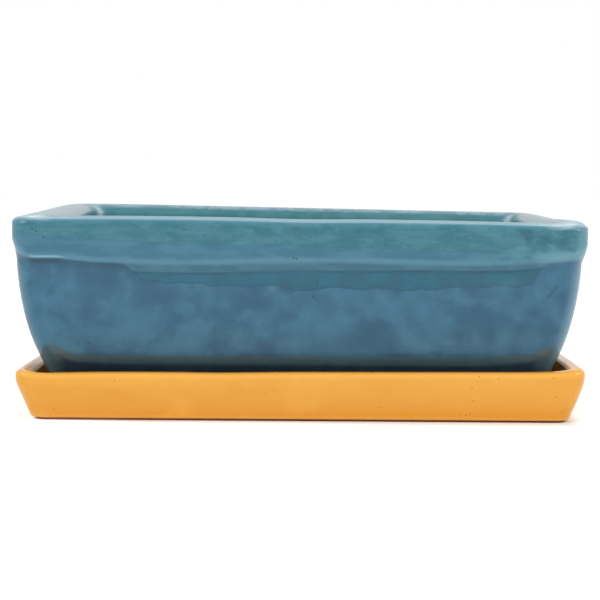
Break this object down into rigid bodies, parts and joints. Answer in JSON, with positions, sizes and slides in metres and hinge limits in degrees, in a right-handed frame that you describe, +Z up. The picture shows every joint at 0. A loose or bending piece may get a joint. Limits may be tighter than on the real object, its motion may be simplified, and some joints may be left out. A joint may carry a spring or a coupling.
{
  "type": "rectangular ceramic planter",
  "caption": "Low rectangular glazed planter with bowed sides, a raised band round its rim and drain holes, standing in a flared glazed drip tray.",
  "frame": {"origin": "middle of the surface that the tray stands on", "axes": "+X along the planter's length, +Y from front to back, +Z up"},
  "size_m": [0.254, 0.152, 0.0913],
  "materials": {
    "amber_glaze": "glossy yellow-orange glaze over a bare clay foot",
    "teal_glaze": "glossy mottled teal-blue glaze over a bare clay foot"
  },
  "bodies": {
    "tray": {"drip_tray": "amber_glaze"},
    "pot": {"planter_pot": "teal_glaze"}
  },
  "joints": [
    {"name": "pot_lift", "type": "slide", "parent": "tray", "child": "pot", "axis": [0, 0, 1], "range_m": [0, 0.06]}
  ]
}
